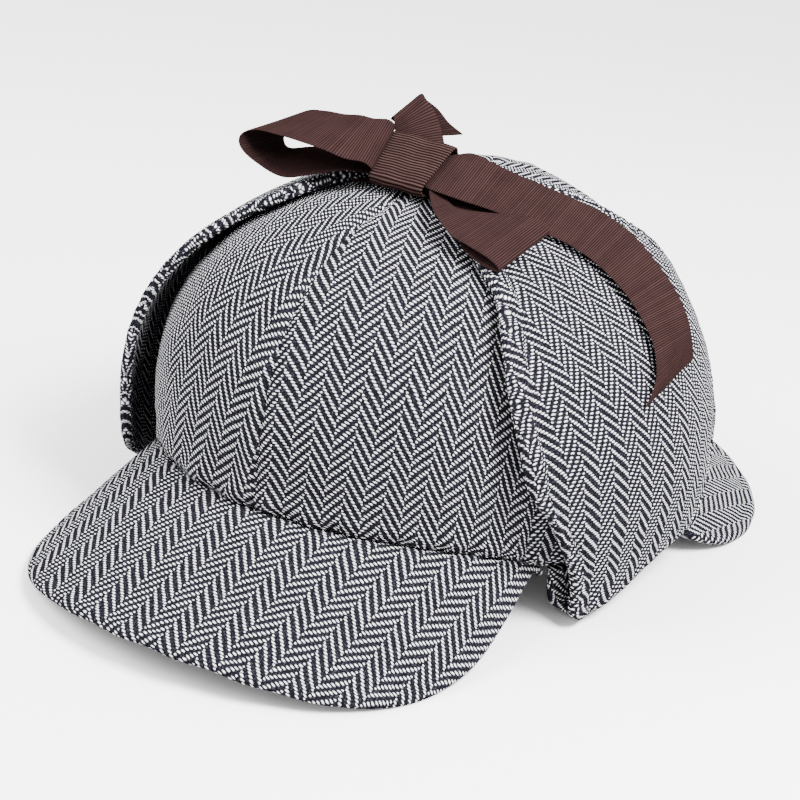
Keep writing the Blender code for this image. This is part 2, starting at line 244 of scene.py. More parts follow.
def ruffled(
    flat: np.ndarray, share: np.ndarray, amount: float, seed: int, size: float = 5.5 * MM
) -> np.ndarray:
    """Displace flat places unevenly, so that the weave is drawn askew near a seam.

    Args:
        flat: grid of flat places.
        share: how strongly each place is displaced, 0 to 1.
        amount: greatest displacement, metres.
        seed: chooses the unevenness.
        size: length of a wave of the displacement, metres.

    Returns:
        The displaced flat places.
    """
    shifts = [unevenness(flat[..., 0], flat[..., 1], size, seed + turn) for turn in (0, 1)]
    return flat + amount * share[..., None] * np.stack(shifts, axis=-1)


# ---------------------------------------------------------------- meshes


def wall_mesh(
    name: str,
    upper: np.ndarray,
    lower: np.ndarray,
    flat: np.ndarray,
    under: np.ndarray | None = None,
    ring: bool = False,
) -> bpy.types.Object:
    """Make one closed solid between two matching grids of points.

    Quads join neighbours on each grid, and a band of quads joins the two grids'
    outlines, or a ring's two open ends. The flat grid becomes the piece's UV map,
    in metres.

    Args:
        name: the piece's name.
        upper: rows by columns by three, one face of the cloth.
        lower: the other face.
        flat: rows by columns by two, place of each point in the flat cloth; a
            ring has one row more, for the join.
        under: the same for the lower face, where it differs.
        ring: joins the last row to the first.

    Returns:
        The new object, linked to the scene.
    """
    rows, columns = upper.shape[:2]
    count = rows * columns
    spots = np.arange(count).reshape(rows, columns)
    marks = np.arange(flat.shape[0] * columns).reshape(-1, columns)
    total = marks.size
    if ring:
        spots = np.vstack([spots, spots[:1]])
        side_spots, side_marks = (
            [(grid[1:, 0], grid[:-1, 0]), (grid[:-1, -1], grid[1:, -1])] for grid in (spots, marks)
        )
    else:
        loops = [
            np.concatenate([grid[0, :-1], grid[:-1, -1], grid[-1, :0:-1], grid[:0:-1, 0]])
            for grid in (spots, marks)
        ]
        pairs = [(loop, np.roll(loop, -1)) for loop in loops]
        side_spots, side_marks = pairs[:1], pairs[1:]

    def corners(grid: np.ndarray, sides: list, offset: int) -> np.ndarray:
        """Corner numbers of the upper, lower and side quads."""
        quads = np.stack([grid[:-1, :-1], grid[1:, :-1], grid[1:, 1:], grid[:-1, 1:]], -1)
        quads = quads.reshape(-1, 4)
        rims = [np.stack([a, b, b + offset, a + offset], -1) for a, b in sides]
        return np.vstack([quads, quads[:, ::-1] + offset, *rims])

    faces = corners(spots, side_spots, count)
    uv_corners = corners(marks, side_marks, total)
    points = np.vstack([upper.reshape(-1, 3), lower.reshape(-1, 3)])
    a, b, c, d = (points[faces[:, n]] for n in range(4))
    volume = np.einsum("ij,ij->", a, np.cross(b, c)) + np.einsum("ij,ij->", a, np.cross(c, d))
    if volume < 0:
        faces, uv_corners = faces[:, ::-1], uv_corners[:, ::-1]
    mesh = bpy.data.meshes.new(name)
    mesh.from_pydata(points.tolist(), [], faces.tolist())
    layer = mesh.uv_layers.new(name="cloth")
    both = [face.reshape(-1, 2) for face in (flat, flat if under is None else under)]
    places = np.vstack(both)[uv_corners.reshape(-1)]
    layer.data.foreach_set("uv", places.astype(np.float32).ravel())
    mesh.shade_smooth()
    mesh.update()
    made = bpy.data.objects.new(name, mesh)
    bpy.context.scene.collection.objects.link(made)
    return made


# ---------------------------------------------------------------- shader writing


class Signal:
    """A socket that adds Math nodes when it is used in a Python expression."""

    def __init__(self, book: "ShaderBook", socket: bpy.types.NodeSocket) -> None:
        """Wrap one output socket of a book's node tree."""
        self.book = book
        self.socket = socket

    def math(self, operation: str, *others: "Signal | float") -> "Signal":
        """One Math node whose first value is this signal."""
        return self.book.node("ShaderNodeMath", {"operation": operation}, [self, *others])

    def __add__(self, other: "Signal | float") -> "Signal":
        """This plus another value."""
        return self.math("ADD", other)

    def __radd__(self, other: float) -> "Signal":
        """A number plus this."""
        return self.math("ADD", other)

    def __sub__(self, other: "Signal | float") -> "Signal":
        """This minus another value."""
        return self.math("SUBTRACT", other)

    def __rsub__(self, other: float) -> "Signal":
        """A number minus this."""
        return self.book.node("ShaderNodeMath", {"operation": "SUBTRACT"}, [other, self])

    def __mul__(self, other: "Signal | float") -> "Signal":
        """This times another value."""
        return self.math("MULTIPLY", other)

    def __rmul__(self, other: float) -> "Signal":
        """A number times this."""
        return self.math("MULTIPLY", other)

    def __truediv__(self, other: "Signal | float") -> "Signal":
        """This divided by another value."""
        return self.math("DIVIDE", other)

    def __mod__(self, other: "Signal | float") -> "Signal":
        """What is left of this after whole steps downwards."""
        return self.math("FLOORED_MODULO", other)

    def __abs__(self) -> "Signal":
        """This without its sign."""
        return self.math("ABSOLUTE")

    def floor(self) -> "Signal":
        """The whole number below this."""
        return self.math("FLOOR")

    def fraction(self) -> "Signal":
        """This less the whole number below it."""
        return self.math("FRACT")

    def power(self, exponent: float) -> "Signal":
        """This to a power."""
        return self.math("POWER", exponent)

    def below(self, limit: "Signal | float") -> "Signal":
        """1 where this is under a limit, 0 elsewhere."""
        return self.math("LESS_THAN", limit)

    def largest(self, other: "Signal | float") -> "Signal":
        """The higher of two values."""
        return self.math("MAXIMUM", other)

    def rise(self, low: float, high: float) -> "Signal":
        """0 below low, 1 above high, and a smooth step between them."""
        settings = {"interpolation_type": "SMOOTHSTEP"}
        return self.book.node("ShaderNodeMapRange", settings, [self, low, high, 0.0, 1.0])


class ShaderBook:
    """Writes one material's nodes."""

    def __init__(self, name: str) -> None:
        """Start a material with only its shader and output."""
        self.material = bpy.data.materials.new(name)
        self.material.use_nodes = True
        self.tree = self.material.node_tree
        self.shader = self.tree.nodes["Principled BSDF"]

    def node(
        self, kind: str, settings: dict, values: Sequence = (), output: int | str = 0
    ) -> Signal:
        """Add any node: its settings first, then the values or links of its sockets.

        Args:
            kind: the node's type name.
            settings: attributes to set on the node.
            values: one entry for each input in order; None leaves a socket alone.
            output: number or name of the socket that is handed back.

        Returns:
            The chosen output.
        """
        made = self.tree.nodes.new(kind)
        for key, value in settings.items():
            setattr(made, key, value)
        for socket, value in zip(made.inputs, values):
            self.feed(socket, value)
        return Signal(self, made.outputs[output])

    def feed(self, socket: bpy.types.NodeSocket, value: "Signal | float | tuple | None") -> None:
        """Link a signal to a socket, or set its constant."""
        if isinstance(value, Signal):
            self.tree.links.new(value.socket, socket)
        elif value is not None:
            socket.default_value = value

    def flat_place(self) -> tuple[Signal, Signal, Signal]:
        """The piece's flat coordinates in metres: the vector and its two parts."""
        vector = self.node("ShaderNodeUVMap", {"uv_map": "cloth"})
        across = self.node("ShaderNodeSeparateXYZ", {}, [vector], "X")
        along = Signal(self, across.socket.node.outputs["Y"])
        return vector, across, along

    def joined(self, x: "Signal | float", y: "Signal | float", z: "Signal | float" = 0.0) -> Signal:
        """Three values as one vector."""
        return self.node("ShaderNodeCombineXYZ", {}, [x, y, z])

    def noise(self, vector: Signal, scale: float, detail: float = 2.0) -> Signal:
        """Soft noise round zero, about -0.5 to 0.5."""
        settings = {"noise_dimensions": "3D"}
        return self.node("ShaderNodeTexNoise", settings, [vector, None, scale, detail]) - 0.5

    def chance(self, vector: Signal) -> Signal:
        """A number from 0 to 1 that is the same wherever the vector is."""
        return self.node("ShaderNodeTexWhiteNoise", {"noise_dimensions": "3D"}, [vector])

    def blend(
        self, share: "Signal | float", first: "Signal | tuple", second: "Signal | tuple"
    ) -> Signal:
        """A colour between two colours."""
        made = self.tree.nodes.new("ShaderNodeMix")
        made.data_type = "RGBA"
        self.feed(made.inputs["Factor"], share)
        colours = [socket for socket in made.inputs if socket.type == "RGBA"]
        self.feed(colours[0], first)
        self.feed(colours[1], second)
        return Signal(self, next(s for s in made.outputs if s.type == "RGBA"))

    def tinted(self, colour: tuple, factor: Signal) -> Signal:
        """A colour made lighter or darker by a number."""
        settings = {"operation": "SCALE"}
        return self.node("ShaderNodeVectorMath", settings, [colour, None, None, factor])

    def finish(
        self,
        colour: Signal,
        roughness: "Signal | float",
        height: Signal,
        depth: float,
    ) -> bpy.types.Material:
        """Link colour, roughness and relief to the shader, which mirrors nothing.

        Args:
            colour: base colour.
            roughness: base roughness.
            height: relief from 0 to 1.
            depth: how deep the relief is, metres.

        Returns:
            The finished material.
        """
        bump = self.node("ShaderNodeBump", {})
        for name, value in (("Strength", 1.0), ("Distance", depth), ("Height", height)):
            self.feed(bump.socket.node.inputs[name], value)
        for name, value in (("Base Color", colour), ("Roughness", roughness), ("Normal", bump)):
            self.feed(self.shader.inputs[name], value)
        self.shader.inputs["Specular IOR Level"].default_value = 0.0
        return self.material


@dataclass(frozen=True)
class Herringbone:
    """Wool cloth: light picks over dark ends in a twill that turns at each column.

    A scale is in waves per metre, and a slice is the third coordinate at which a
    noise is read. A fall says how fast a light float fades, a tone how light its
    yarn is, and a height how far it stands up.
    """

    name: str = "wool_herringbone_cloth"
    end_pitch: float = 0.872 * MM
    pick_pitch: float = 1.03 * MM
    ends_in_column: int = 8
    repeat: float = 4.0
    light: tuple = (0.89, 0.89, 0.93)
    dark: tuple = (0.0031, 0.0030, 0.0041)
    wander: float = 1.8 * MM
    wander_scale: float = 50.0
    jitter: float = 0.5 * MM
    jitter_scale: float = 620.0
    climb_slice: float = 0.37
    luck_slice: float = 0.5
    fuzz_scale: float = 2400.0
    hair_scale: float = 1500.0
    hair_range: tuple = (-0.05, 0.28)
    fibre_scale: float = 4200.0
    fibre_stretch: float = 0.3
    slub_scale: float = 420.0
    slub_stretch: float = 0.12
    slub_range: tuple = (0.24, 0.30)
    slant: float = 0.16
    end_power: float = 2.2
    end_fall: float = 0.66
    side_fall: float = 4.6
    luck_fall: float = 0.22
    fuzz_fall: float = 0.6
    faded_at: float = 1.22
    fade_power: float = 2.6
    light_tone: float = 0.50
    luck_tone: float = 0.50
    fibre_tone: float = 1.1
    slub_tone: float = 0.3
    dark_tone: float = 0.9
    hair_tone: float = 6.5
    dark_fibre_tone: float = 2.4
    darkest_tone: float = 0.35
    light_height: float = 0.62
    dark_height: float = 0.36
    end_roundness: float = 2.6
    hair_height: float = 0.3
    fibre_height: float = 0.1
    depth: float = 0.5 * MM

    def material(self) -> bpy.types.Material:
        """Write the weave's nodes.

        An end's number k in its column and the pick's number j give the phase
        (k - j) modulo the repeat, with k counted backwards and two further in every
        second column. The pick lies on top where the phase is below 2, so each
        light float spans two ends and the next one is a step higher. A float
        fades where the squared distance along it and across it grows.
        """
        book = ShaderBook(self.name)
        vector, across, along = book.flat_place()
        swapped = book.joined(along, across, self.climb_slice)
        drift, climb = (
            book.noise(place, self.wander_scale) * self.wander
            + book.noise(place, self.jitter_scale) * self.jitter
            for place in (vector, swapped)
        )
        ends = (across + drift) / self.end_pitch
        picks = (along + climb) / self.pick_pitch
        end, in_end = ends.floor(), ends.fraction()
        pick, in_pick = picks.floor(), picks.fraction() - 0.5
        column = (end / self.ends_in_column).floor()
        turned = column % 2.0
        place = end - column * self.ends_in_column
        counted = place + turned * (self.ends_in_column + 1.0 - 2.0 * place)
        phase = (counted - pick) % self.repeat
        on_top = phase.below(1.5)
        straight = phase + in_end - 1.0
        along_float = straight + turned * (in_end - phase - straight)
        first_end = end - phase + turned * (2.0 * phase - 1.0)
        luck = book.chance(book.joined(first_end, pick, self.luck_slice))
        slanted = in_pick + along_float * self.slant
        fuzz = book.noise(vector, self.fuzz_scale, FINE)
        far = abs(along_float).power(self.end_power) * self.end_fall
        far = far + slanted * slanted * self.side_fall
        far = far + luck * self.luck_fall + fuzz * self.fuzz_fall
        light_part = on_top * (1.0 - far.rise(0.0, self.faded_at)).power(self.fade_power)
        drawn = book.joined(along * self.fibre_stretch, across)
        fibres = book.noise(drawn, self.fibre_scale, FINE)
        hair = book.noise(vector, self.hair_scale, FINE)
        drawn = book.joined(across * self.slub_stretch, along)
        slub = book.noise(drawn, self.slub_scale).rise(*self.slub_range)
        light_tone = self.light_tone + self.luck_tone * luck
        light_tone = light_tone + fibres * self.fibre_tone + slub * self.slub_tone
        dark_tone = self.dark_tone + hair.rise(*self.hair_range) * self.hair_tone
        dark_tone = dark_tone + fibres * self.dark_fibre_tone
        light = book.tinted(self.light, light_tone)
        dark = book.tinted(self.dark, dark_tone.largest(self.darkest_tone))
        colour = book.blend(light_part, dark, light)
        ends_round = 1.0 - (in_end - 0.5).power(2.0) * self.end_roundness
        height = light_part * self.light_height
        height = height + (1.0 - on_top) * ends_round * self.dark_height
        height = height + hair * self.hair_height + fibres * self.fibre_height
        return book.finish(colour, 1.0, height, self.depth)


@dataclass(frozen=True)
class Grosgrain:
    """Ribbed ribbon: thick ribs across it, covered by fine lengthwise yarns.

    A scale is in waves per metre. A tone says how light a crest is, and a height how
    far it stands up. The groove colour is painted shade down the sides of each rib.
    """

    name: str = "grosgrain_ribbon_brown"
    rib_pitch: float = 0.80 * MM
    yarn_pitch: float = 0.26 * MM
    stagger: float = 0.5
    sway: float = 0.2 * MM
    sway_scale: float = 90.0
    cloud_scale: float = 140.0
    hair_scale: float = 2600.0
    crest: tuple = (0.0180, 0.0095, 0.0092)
    # painted shade: the colour between the ribs, darker than the crests as if in shade
    groove: tuple = (0.0060, 0.0030, 0.0030, 1.0)
    # how far down a rib the crest colour reaches before the painted groove shade
    crest_from: float = 0.20
    crest_full: float = 0.95
    # painted shade: share of the crest's lightness that is left on a ribbon's inner face
    inner_face_shade: float = 0.62
    crest_tone: float = 0.86
    cloud_tone: float = 0.5
    hair_tone: float = 0.8
    luck_tone: float = 0.3
    yarn_share: float = 0.22
    rib_height: float = 0.8
    yarn_height: float = 0.14
    hair_height: float = 0.12
    roughness: float = 0.60
    hair_roughness: float = 0.2
    depth: float = 0.34 * MM

    def material(self) -> bpy.types.Material:
        """Write the ribs' nodes.

        A rib's height is 1 less four times the squared distance from its crest, and
        so is a yarn's. Places about INNER_FACE further across mark the ribbon's
        inner face, which is made darker by painted shade.
        """
        book = ShaderBook(self.name)
        vector, across, along = book.flat_place()
        ribs = (along + book.noise(vector, self.sway_scale) * self.sway) / self.rib_pitch
        from_crest = ribs.fraction() - 0.5
        rounded = 1.0 - from_crest * from_crest * 4.0
        yarns = (across / self.yarn_pitch + ribs.floor() * self.stagger).fraction() - 0.5
        yarn_round = 1.0 - yarns * yarns * 4.0
        cloudy = book.noise(vector, self.cloud_scale, FINE)
        hair = book.noise(vector, self.hair_scale, FINE)
        luck = book.chance(book.joined(ribs.floor(), 0.0))
        # painted shade on the ribbon's inner face, which is turned inwards in loops and folds
        shaded_inner_face = across.rise(0.4 * INNER_FACE, 0.6 * INNER_FACE)
        tone = self.crest_tone + cloudy * self.cloud_tone
        tone = tone + hair * self.hair_tone + luck * self.luck_tone
        crest = book.tinted(self.crest, tone * (1.0 - shaded_inner_face * (1.0 - self.inner_face_shade)))
        # painted shade: the groove colour darkens each rib's sides and the hollows between ribs
        share = rounded.rise(self.crest_from, self.crest_full)
        share = share * (1.0 - self.yarn_share + self.yarn_share * yarn_round)
        colour = book.blend(share, self.groove, crest)
        height = rounded * self.rib_height + yarn_round * self.yarn_height
        height = height + hair * self.hair_height
        roughness = self.roughness + hair * self.hair_roughness
        return book.finish(colour, roughness, height, self.depth)


# ---------------------------------------------------------------- the hat's form


class Arch(NamedTuple):
    """How the crown's lower edge rises in the middle of a peak."""

    reach: float
    rise: float
    power: float


class Section(NamedTuple):
    """An upright section of the crown: power of the superellipse and low-set bulge."""

    power: float
    bulge: float


@dataclass(frozen=True)
class HatForm:
    """The crown's outer form, on which every other piece is placed."""

    half_length: float = 103.0 * MM
    half_width: float = 87.0 * MM
    crown_height: float = 108.5 * MM
    rim_height: float = 19.2 * MM
    rim_shift: float = 2.77 * MM
    apex_back: float = -2.7 * MM
    apex_hole: float = 0.7 * MM
    front_arch: Arch = Arch(math.radians(65.2), 16.9 * MM, 0.72)
    rear_arch: Arch = Arch(math.radians(73.9), 9.7 * MM, 1.0)
    front: Section = Section(2.79, 0.010)
    side: Section = Section(2.02, 0.147)
    rear: Section = Section(3.28, -0.082)

    def rim(self, angle: np.ndarray) -> np.ndarray:
        """Height of the crown's lower edge: a rounded arch over each peak."""
        turn = np.abs(np.arctan2(np.sin(angle), np.cos(angle)))
        front, rear = (
            arch.rise * np.clip(1 - (way / arch.reach) ** 2, 0, 1) ** arch.power
            for arch, way in ((self.front_arch, turn), (self.rear_arch, math.pi - turn))
        )
        return front + rear

    def point(self, angle: np.ndarray, level: np.ndarray) -> np.ndarray:
        """Outer face of the crown.

        Each upright section is a superellipse; its power and bulge blend between
        front, side and rear with the square of the angle's cosine.

        Args:
            angle: from the front towards +X, radians.
            level: 0 at the rim to a right angle on top, radians.

        Returns:
            Points in the rim's frame.
        """
        angle, level = np.broadcast_arrays(angle, level)
        front = np.clip(np.cos(angle), 0, 1) ** 2
        rear = np.clip(-np.cos(angle), 0, 1) ** 2
        side = np.sin(angle) ** 2
        power = 2 / (self.front.power * front + self.side.power * side + self.rear.power * rear)
        bulge = self.front.bulge * front + self.side.bulge * side + self.rear.bulge * rear
        spread = np.clip(np.cos(level), 0, 1) ** power
        climb = np.clip(np.sin(level), 0, 1) ** power
        spread = spread * (1 + bulge * np.sin(2 * level) * np.cos(level))
        foot = self.rim(angle)
        x = self.half_width * np.sin(angle) * spread
        y = -self.half_length * np.cos(angle) * spread + self.apex_back * climb**2
        return np.stack([x, y, foot + (self.crown_height - foot) * climb], axis=-1)

    def normal(self, angle: np.ndarray, level: np.ndarray) -> np.ndarray:
        """Outward normal of the crown, from small steps of angle and level."""
        step = 1e-4
        level = np.clip(level, step, math.pi / 2 - 2 * step)
        round_step = self.point(angle + step, level) - self.point(angle - step, level)
        rise_step = self.point(angle, level + step) - self.point(angle, level - step)
        normal = np.cross(round_step, rise_step)
        return normal / np.linalg.norm(normal, axis=-1, keepdims=True)

    def set_down(self, points: np.ndarray) -> np.ndarray:
        """Move points to the surface the hat rests on, flattened where they meet it."""
        placed = points + np.array([0.0, self.rim_shift, self.rim_height])
        placed[..., 2] = np.maximum(placed[..., 2], 0.0)
        return placed


class Held(Enum):
    STRETCHED = "stretched"
    FOLDED = "folded"
    DRAPED = "draped"


class Slot(Enum):
    """The record's material slots."""

    WOOL = "wool_herringbone"
    RIBBON = "grosgrain_ribbon"


@dataclass
class Piece:
    """A sub-assembly's common work: making a solid and giving it its finish and its node."""

    form: HatForm
    material: bpy.types.Material
    slot: Slot = Slot.WOOL

    def make(
        self,
        node: str,
        upper: np.ndarray,
        lower: np.ndarray,
        flat: np.ndarray,
        under: np.ndarray | None = None,
        ring: bool = False,
    ) -> bpy.types.Object:
        """Set two faces down, join them into a solid, and let it stand for its node.

        Args:
            node: the node that the piece replaces.
            upper: grid of points of one face, in the rim's frame.
            lower: the same for the other face.
            flat: grid of flat places.
            under: the same for the lower face, where it differs.
            ring: joins the last row to the first.

        Returns:
            The dressed piece.
        """
        kind = "cloth" if self.slot is Slot.WOOL else "ribbon"
        upper, lower = self.form.set_down(upper), self.form.set_down(lower)
        made = wall_mesh(f"{kind}_{node}", upper, lower, flat, under, ring)
        made.data.materials.append(self.material)
        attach(made, "root")
        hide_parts(node)
        log.info("%s: %d faces for %s", made.name, len(made.data.polygons), node)
        return made

    def grained(self, flat: np.ndarray, lean: float, narrowing: float, shift: float) -> np.ndarray:
        """Turn flat places so that the weave's columns lean, and shift them sideways.

        Args:
            flat: grid of flat places.
            lean: how far the columns lean from the piece's own middle line, degrees.
            narrowing: width of a column in the piece over its usual width.
            shift: how far the pattern is shifted sideways, metres.

        Returns:
            The turned flat places.
        """
        turn = math.radians(lean)
        across, along = np.moveaxis(flat, -1, 0)
        sideways = (across * math.cos(turn) + along * math.sin(turn)) / narrowing + shift
        return np.stack([sideways, along * math.cos(turn) - across * math.sin(turn)], axis=-1)

    def sheet(
        self, made: bpy.types.Object, face: np.ndarray, held: Held, rests_on: Sequence[str]
    ) -> None:
        """Take a piece's cloth details; nothing is done with them.

        Args:
            made: the piece; not used.
            face: grid of points of its middle face; not used.
            held: how it is held; not used.
            rests_on: what it lies on or hangs from; not used.
        """


@dataclass
class Crown(Piece):
    """Six gores sewn together, each a wall of cloth from the rim to the top.

    For each gore its shift is in millimetres and its lean in degrees, its bend is
    the curvature of its columns per metre, and its narrowing is their width over
    the usual one. The seeds named here are added to the gore's own number.
    """

    cloth: float = 2.0 * MM
    span: float = math.radians(60.0)
    columns: int = 65
    rows: int = 150
    crowding: float = 0.6
    top_fade: float = 0.25
    seam: Roll = Roll(-1.0 * MM, 0.0, 1.5 * MM)
    beside_seam: Roll = Roll(0.45 * MM, 4.0 * MM, 3.0 * MM)
    rim_roll: Roll = Roll(0.5 * MM, 4.5 * MM, 2.5 * MM)
    rim_tuck: Roll = Roll(-1.5 * MM, 0.0, 1.7 * MM)
    worked: Waves = Waves(0.45 * MM, 34 * MM)
    seam_pucker: Waves = Waves(0.36 * MM, 9 * MM, 5 * MM)
    rim_pucker: Waves = Waves(1.25 * MM, 11 * MM, 11 * MM)
    drawn_out: float = 0.4
    askew: float = 0.45 * MM
    askew_reach: float = 2.2 * MM
    rim_askew: float = 2.0
    rim_askew_reach: float = 3.0 * MM
    bend_from: float = 75.0 * MM
    pucker_seed: int = 20
    rim_seed: int = 40
    askew_seed: int = 60
    names: tuple = (
        "front_left",
        "side_left",
        "back_left",
        "back_right",
        "side_right",
        "front_right",
    )
    shifts: tuple = (0.2, 1.1, 2.3, 3.1, 4.6, 5.2)
    leans: tuple = (-5.0, 0.0, 3.0, -2.0, 4.0, -1.0)
    bends: tuple = (2.5, -1.5, 1.5, -1.5, 1.5, -3.8)
    narrowing: tuple = (0.95, 0.97, 1.0, 1.0, 0.97, 0.99)

    def build(self) -> None:
        """Make all six gores."""
        for place, name in enumerate(self.names):
            self.gore(name, (place + 0.5) * self.span, place)

    def gore(self, name: str, middle: float, seed: int) -> None:
        """Make one gore.

        Its face is the crown's form over its share of the angle, lowered by a
        bell curve of the distance from each seam and from the rim, and raised
        by puckers that fade away from the seams. It ends at a small hole on top.

        Args:
            name: the gore's place.
            middle: angle of its middle line, radians.
            seed: number of the gore, which chooses its unevenness and its pattern's place.
        """
        share = np.linspace(0, 1, self.rows)
        level = math.pi / 2 * (share - self.crowding * np.sin(2 * math.pi * share) / (2 * math.pi))
        level = level[:-1, None]
        across = np.sin(np.linspace(-1, 1, self.columns) * math.pi / 2)
        angle = middle + self.span / 2 * across
        outer = self.form.point(angle, level)
        normal = self.form.normal(angle, level)
        up = run_lengths(outer, 0)
        wide = run_lengths(outer, 1)
        wide = wide - wide[:, self.columns // 2, None]
        to_seam = np.minimum(wide - wide[:, :1], wide[:, -1:] - wide)
        worked = self.worked.at(wide, up, seed) + self.seam.at(to_seam)
        worked = worked + self.beside_seam.at(to_seam)
        drawn = wide * self.drawn_out
        worked = worked + self.seam_pucker.at(drawn, up, seed + self.pucker_seed, to_seam)
        rim_pucker = self.rim_pucker.at(wide, up * self.drawn_out, seed + self.rim_seed, up)
        fade = np.clip((math.pi / 2 - level) / self.top_fade, 0, 1)
        lift = worked * fade + rim_pucker + (self.rim_roll.at(up) + self.rim_tuck.at(up))
        inner = outer - self.cloth * normal
        outer = outer + lift[..., None] * normal
        x = self.form.apex_hole * np.sin(angle)
        y = self.form.apex_back - self.form.apex_hole * np.cos(angle)
        top = np.stack([x, y, np.full_like(x, self.form.crown_height)], axis=-1)
        outer = np.concatenate([outer, top[None]])
        inner = np.concatenate([inner, top[None] - np.array([0.0, 0.0, self.cloth])])
        flat_up = run_lengths(outer, 0)[:, self.columns // 2, None]
        flat_wide = run_lengths(outer, 1)
        flat_wide = flat_wide - flat_wide[:, self.columns // 2, None]
        flat = laid_flat(outer, np.stack(np.broadcast_arrays(flat_wide, flat_up), axis=-1))
        near_rim = self.rim_askew * np.exp(-up / self.rim_askew_reach)
        near_seam = np.maximum(np.exp(-to_seam / self.askew_reach), near_rim)
        near_seam = np.concatenate([near_seam, near_seam[-1:]])
        flat = ruffled(flat, near_seam, self.askew, seed + self.askew_seed)
        flat[..., 0] -= self.bends[seed] / 2 * (flat[..., 1] - self.bend_from) ** 2
        flat = self.grained(flat, self.leans[seed], self.narrowing[seed], self.shifts[seed] * MM)
        made = self.make("gore_" + name, outer, inner, flat)
        self.sheet(made, outer, Held.STRETCHED, ["front_peak", "rear_peak"])


